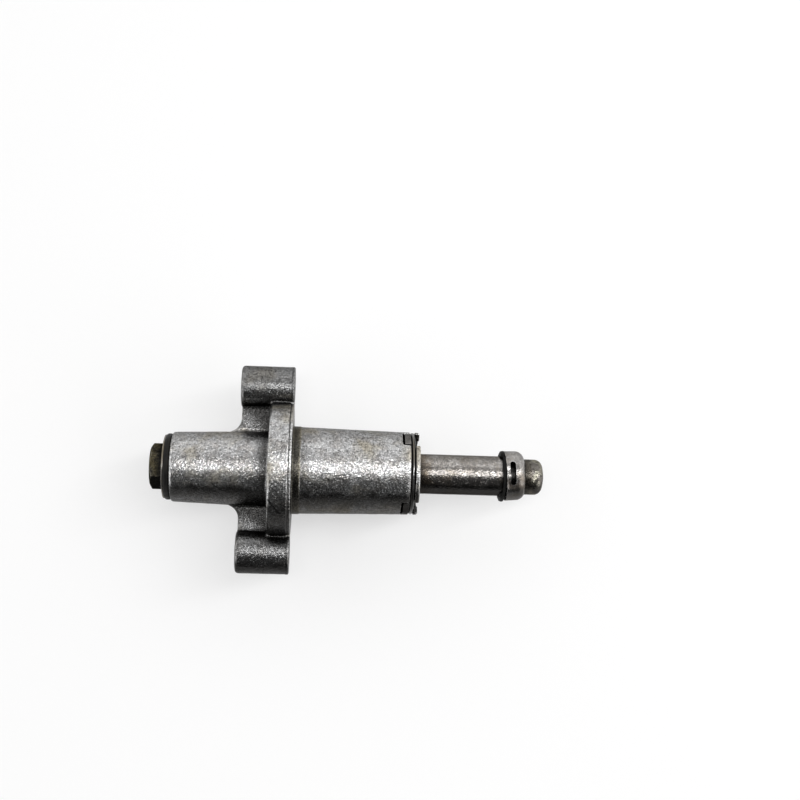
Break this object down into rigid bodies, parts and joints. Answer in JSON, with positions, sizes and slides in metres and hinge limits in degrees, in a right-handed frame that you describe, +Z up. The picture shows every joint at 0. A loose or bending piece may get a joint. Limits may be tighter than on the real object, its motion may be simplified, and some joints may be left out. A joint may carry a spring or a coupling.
{
  "type": "timing chain tensioner",
  "caption": "Screw type timing chain tensioner with a cast two-lug flanged housing and a spring driven plunger that ends in a pressed cup and a nose.",
  "frame": {"origin": "centre of the mounting face, on the plunger's axis, midway between the two bolt holes", "axes": "+X along the plunger towards its nose, +Y towards one bolt lug, +Z up across the flange"},
  "size_m": [0.1191, 0.063, 0.0408],
  "materials": {
    "cast_aluminium": "rough cast, worn and stained",
    "oxidised_steel": "dark, dirty, worn at the corners",
    "bright_steel": "plain bright steel",
    "seal_rubber": "oily black rubber",
    "worn_steel": "ground and worn",
    "spring_steel": "drawn wire",
    "nose_steel": "worn by contact, straw coloured",
    "cup_steel": "pressed sheet, scuffed",
    "bush_rubber": "matte black"
  },
  "bodies": {
    "housing": {"housing": "cast_aluminium", "rear_plug": "oxidised_steel", "plug_washer": "bright_steel", "plug_seal": "seal_rubber", "thrust_seat": "worn_steel", "torsion_spring": "spring_steel", "spacer_sleeve": "bright_steel", "guide_plate": "worn_steel", "retaining_ring": "spring_steel"},
    "screw": {"screw_shaft": "worn_steel"},
    "plunger": {"plunger_tube": "worn_steel", "nose": "nose_steel", "end_cup": "cup_steel", "cup_bush": "bush_rubber"}
  },
  "joints": [
    {"name": "plunger_slide", "type": "slide", "parent": "housing", "child": "plunger", "axis": [1, 0, 0], "range_m": [-0.024, 0], "stiffness_N_per_m": 300, "springref_m": 0.03},
    {"name": "screw_spin", "type": "hinge", "parent": "housing", "child": "screw", "pos_m": [0, 0, 0], "axis": [1, 0, 0], "range_deg": [0, 1728.5], "deforming": ["torsion_spring"]}
  ],
  "couplings": [
    {"joint": "screw_spin", "follows": "plunger_slide", "rad_per_m": -1256.6}
  ]
}
